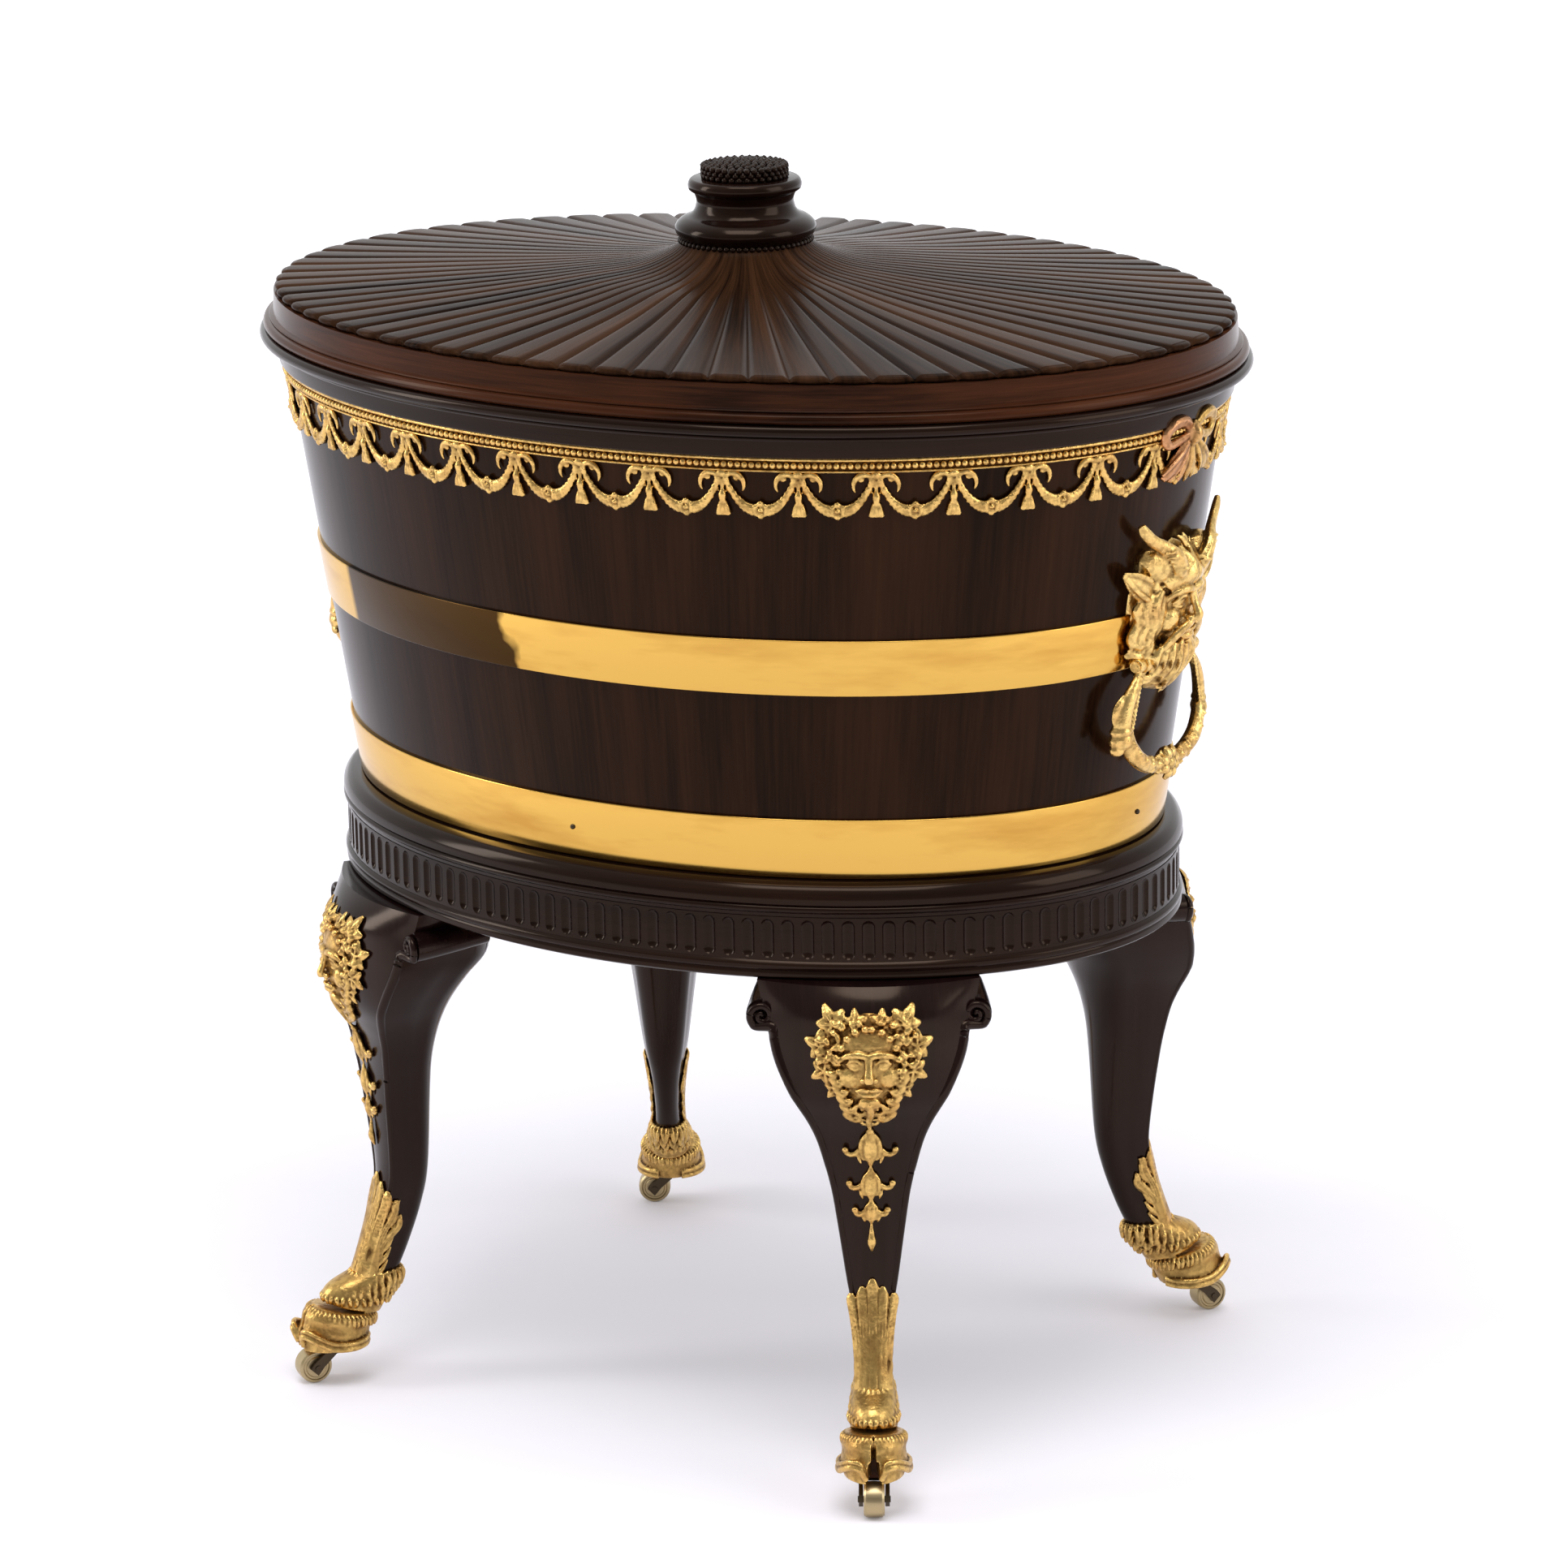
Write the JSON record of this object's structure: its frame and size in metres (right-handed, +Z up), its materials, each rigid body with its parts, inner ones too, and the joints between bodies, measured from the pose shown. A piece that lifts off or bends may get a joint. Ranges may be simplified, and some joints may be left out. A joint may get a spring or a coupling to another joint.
{
  "type": "cellarette",
  "caption": "Oval lidded cellarette: a brass-bound tapering tub with mask ring handles that lifts out of a fluted stand on four cabriole legs with hoof feet and castors.",
  "frame": {"origin": "on the floor under the middle of the oval, where the castor wheels touch", "axes": "+Z up, X along the oval's length, -Y towards the front"},
  "size_m": [0.661, 0.5019, 0.7802],
  "materials": {
    "mahogany": "polished",
    "lid_mahogany": "polished",
    "secondary_wood": "planed",
    "gilt_brass": "gilt, satin",
    "copper_gilt": "satin",
    "hoop_brass": "polished",
    "castor_brass": "worn",
    "castor_iron": "dark",
    "liner_metal": "dull",
    "screw_steel": "plain"
  },
  "bodies": {
    "stand": {"stand_top_moulding": "mahogany", "stand_fluted_rail": "mahogany", "stand_lower_moulding": "mahogany", "cross_bearers": "secondary_wood", "corner_blocks": "secondary_wood", "leg_front_left": "mahogany", "leg_front_right": "mahogany", "leg_back_left": "mahogany", "leg_back_right": "mahogany", "knee_mount_front_left": "gilt_brass", "knee_mount_front_right": "gilt_brass", "knee_mount_back_left": "gilt_brass", "knee_mount_back_right": "gilt_brass", "hoof_sabot_front_left": "gilt_brass", "hoof_sabot_front_right": "gilt_brass", "hoof_sabot_back_left": "gilt_brass", "hoof_sabot_back_right": "gilt_brass"},
    "tub": {"tub_staves": "mahogany", "tub_bottom_board": "secondary_wood", "metal_liner": "liner_metal", "rim_moulding": "mahogany", "lower_hoop": "hoop_brass", "upper_hoop": "hoop_brass", "frieze_mount": "gilt_brass", "end_clasp_left": "copper_gilt", "end_clasp_right": "copper_gilt", "handle_mask_left": "gilt_brass", "handle_mask_right": "gilt_brass", "handle_pins_left": "gilt_brass", "handle_pins_right": "gilt_brass"},
    "lid": {"lid_board": "lid_mahogany", "lid_reeded_crown": "lid_mahogany", "finial_base": "lid_mahogany", "finial_berry_cap": "lid_mahogany", "finial_screw": "screw_steel"},
    "ring_left": {"ring_handle_left": "gilt_brass"},
    "ring_right": {"ring_handle_right": "gilt_brass"},
    "castor_front_left": {"castor_fork_front_left": "castor_iron", "castor_axle_front_left": "castor_iron"},
    "wheel_front_left": {"castor_wheel_front_left": "castor_brass"},
    "castor_front_right": {"castor_fork_front_right": "castor_iron", "castor_axle_front_right": "castor_iron"},
    "wheel_front_right": {"castor_wheel_front_right": "castor_brass"},
    "castor_back_left": {"castor_fork_back_left": "castor_iron", "castor_axle_back_left": "castor_iron"},
    "wheel_back_left": {"castor_wheel_back_left": "castor_brass"},
    "castor_back_right": {"castor_fork_back_right": "castor_iron", "castor_axle_back_right": "castor_iron"},
    "wheel_back_right": {"castor_wheel_back_right": "castor_brass"}
  },
  "joints": [
    {"name": "tub_lift", "type": "slide", "parent": "stand", "child": "tub", "axis": [0, 0, 1], "range_m": [0, 0.2]},
    {"name": "lid_lift", "type": "slide", "parent": "tub", "child": "lid", "axis": [0, 0, 1], "range_m": [0, 0.15]},
    {"name": "ring_swing_left", "type": "hinge", "parent": "tub", "child": "ring_left", "pos_m": [-0.29844, 0, 0.5038], "axis": [0, 1, 0], "range_deg": [-6, 100]},
    {"name": "ring_swing_right", "type": "hinge", "parent": "tub", "child": "ring_right", "pos_m": [0.29844, 0, 0.5038], "axis": [0, -1, 0], "range_deg": [-6, 100]},
    {"name": "castor_swivel_front_left", "type": "hinge", "parent": "stand", "child": "castor_front_left", "pos_m": [-0.20777, -0.19418, 0.0235], "axis": [0, 0, 1], "continuous": true},
    {"name": "wheel_roll_front_left", "type": "hinge", "parent": "castor_front_left", "child": "wheel_front_left", "pos_m": [-0.21415, -0.20434, 0.011], "axis": [0.8467, -0.5321, 0], "continuous": true},
    {"name": "castor_swivel_front_right", "type": "hinge", "parent": "stand", "child": "castor_front_right", "pos_m": [0.20777, -0.19418, 0.0235], "axis": [0, 0, 1], "continuous": true},
    {"name": "wheel_roll_front_right", "type": "hinge", "parent": "castor_front_right", "child": "wheel_front_right", "pos_m": [0.21415, -0.20434, 0.011], "axis": [0.8467, 0.5321, 0], "continuous": true},
    {"name": "castor_swivel_back_left", "type": "hinge", "parent": "stand", "child": "castor_back_left", "pos_m": [-0.20777, 0.19418, 0.0235], "axis": [0, 0, 1], "continuous": true},
    {"name": "wheel_roll_back_left", "type": "hinge", "parent": "castor_back_left", "child": "wheel_back_left", "pos_m": [-0.21774, 0.18751, 0.011], "axis": [0.5563, -0.831, 0], "continuous": true},
    {"name": "castor_swivel_back_right", "type": "hinge", "parent": "stand", "child": "castor_back_right", "pos_m": [0.20777, 0.19418, 0.0235], "axis": [0, 0, 1], "continuous": true},
    {"name": "wheel_roll_back_right", "type": "hinge", "parent": "castor_back_right", "child": "wheel_back_right", "pos_m": [0.21415, 0.20434, 0.011], "axis": [-0.8467, 0.5321, 0], "continuous": true}
  ]
}
